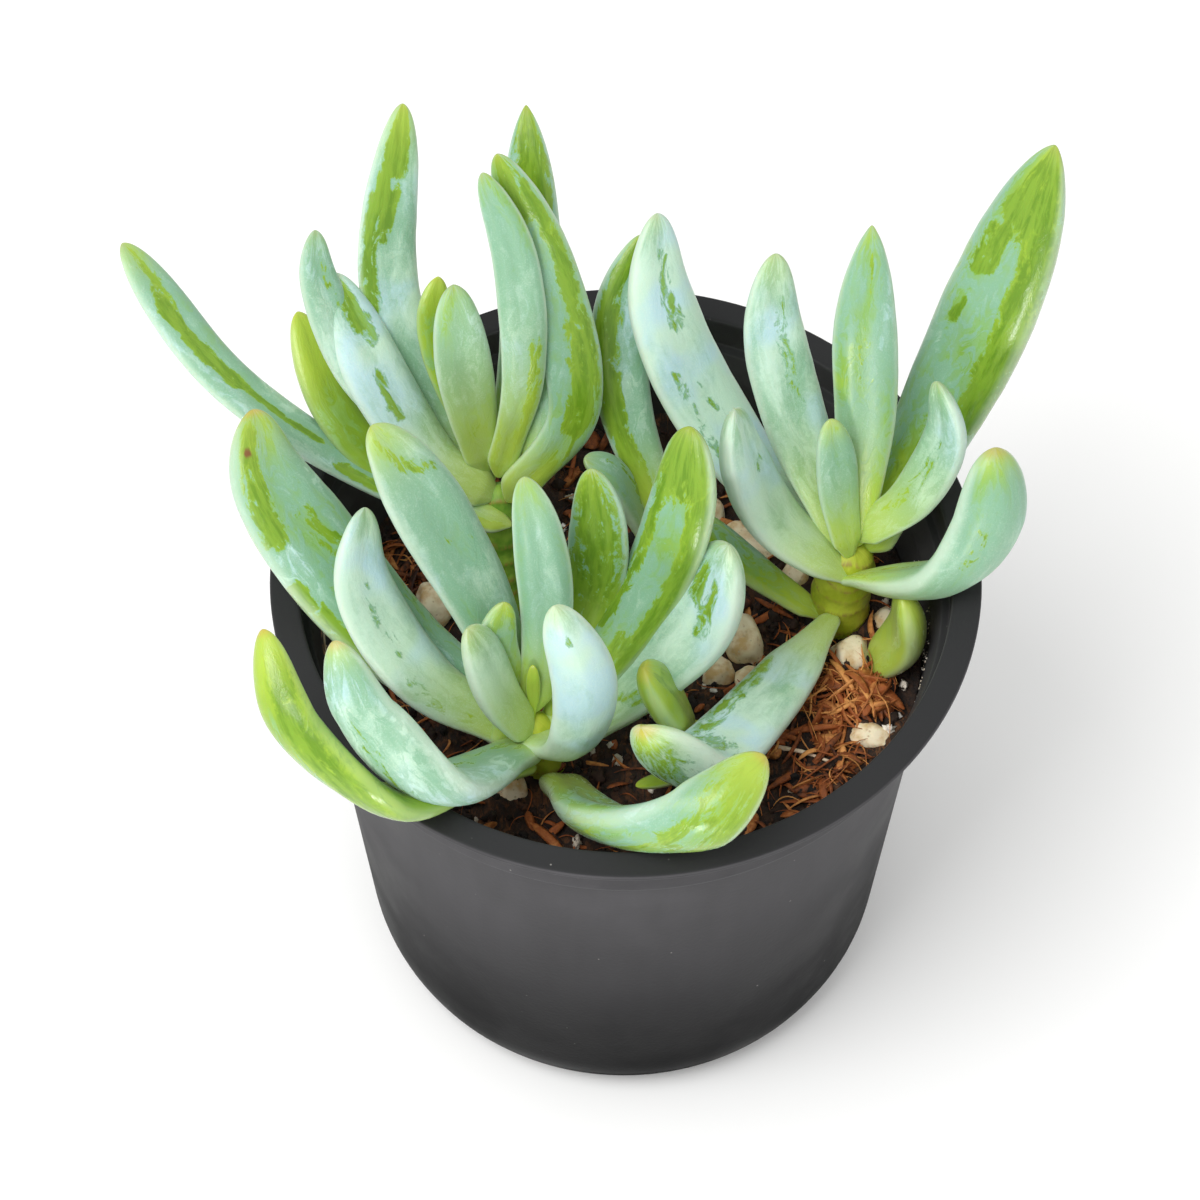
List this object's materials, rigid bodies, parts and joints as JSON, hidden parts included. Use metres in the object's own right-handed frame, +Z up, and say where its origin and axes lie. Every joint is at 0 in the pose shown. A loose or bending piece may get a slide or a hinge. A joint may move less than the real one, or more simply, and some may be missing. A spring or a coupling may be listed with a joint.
{
  "type": "potted blue chalk sticks",
  "caption": "Round tapered nursery pot filled with gritty potting mix, with upright clusters of plump finger-shaped succulent leaves leaning over its rim.",
  "frame": {"origin": "centre of the pot's underside, where the pot stands", "axes": "+Z up along the pot's axis; -Y towards the viewer of the picture, +X to the viewer's right"},
  "size_m": [0.137, 0.105, 0.142],
  "materials": {
    "pot_plastic": "satin near-black plastic with fine light specks",
    "potting_mix": "rough dark peat with bark shreds",
    "pumice": "rough cream pumice grit",
    "stem_skin": "smooth olive to yellow-green skin",
    "leaf_bloom": "powdery pale blue-green wax bloom, rubbed to green in streaks",
    "leaf_green": "satin lime-green skin with little bloom"
  },
  "bodies": {
    "root": {"pot": "pot_plastic", "soil": "potting_mix", "stem_a": "stem_skin", "stem_b": "stem_skin", "stem_c": "stem_skin", "stem_d": "stem_skin", "stem_g": "stem_skin", "leaf_a01": "leaf_bloom", "leaf_a02": "leaf_bloom", "leaf_a03": "leaf_green", "leaf_a04": "leaf_bloom", "leaf_a05": "leaf_bloom", "leaf_a06": "leaf_green", "leaf_a07": "leaf_bloom", "leaf_a08": "leaf_bloom", "leaf_a09": "leaf_bloom", "leaf_a10": "leaf_bloom", "leaf_a11": "leaf_bloom", "leaf_b01": "leaf_bloom", "leaf_b02": "leaf_bloom", "leaf_b03": "leaf_bloom", "leaf_b04": "leaf_bloom", "leaf_b05": "leaf_bloom", "leaf_b06": "leaf_bloom", "leaf_b07": "leaf_green", "leaf_b08": "leaf_bloom", "leaf_b09": "leaf_bloom", "leaf_b10": "leaf_green", "leaf_b11": "leaf_bloom", "leaf_b12": "leaf_bloom", "leaf_b13": "leaf_bloom", "leaf_b17": "leaf_bloom", "leaf_c01": "leaf_bloom", "leaf_c03": "leaf_bloom", "leaf_c04": "leaf_bloom", "leaf_c05": "leaf_bloom", "leaf_c06": "leaf_bloom", "leaf_c07": "leaf_bloom", "leaf_c08": "leaf_bloom", "leaf_c09": "leaf_bloom", "leaf_c10": "leaf_bloom", "leaf_d01": "leaf_bloom", "leaf_d02": "leaf_bloom", "leaf_e01": "leaf_green", "leaf_f01": "leaf_green", "leaf_g01": "leaf_green", "leaf_g02": "leaf_green", "stone_01": "pumice", "stone_02": "pumice", "stone_03": "pumice", "stone_04": "pumice", "stone_05": "pumice", "stone_06": "pumice", "stone_07": "pumice", "stone_08": "pumice", "stone_09": "pumice", "stone_10": "pumice", "stone_11": "pumice", "stone_12": "pumice"}
  },
  "joints": []
}
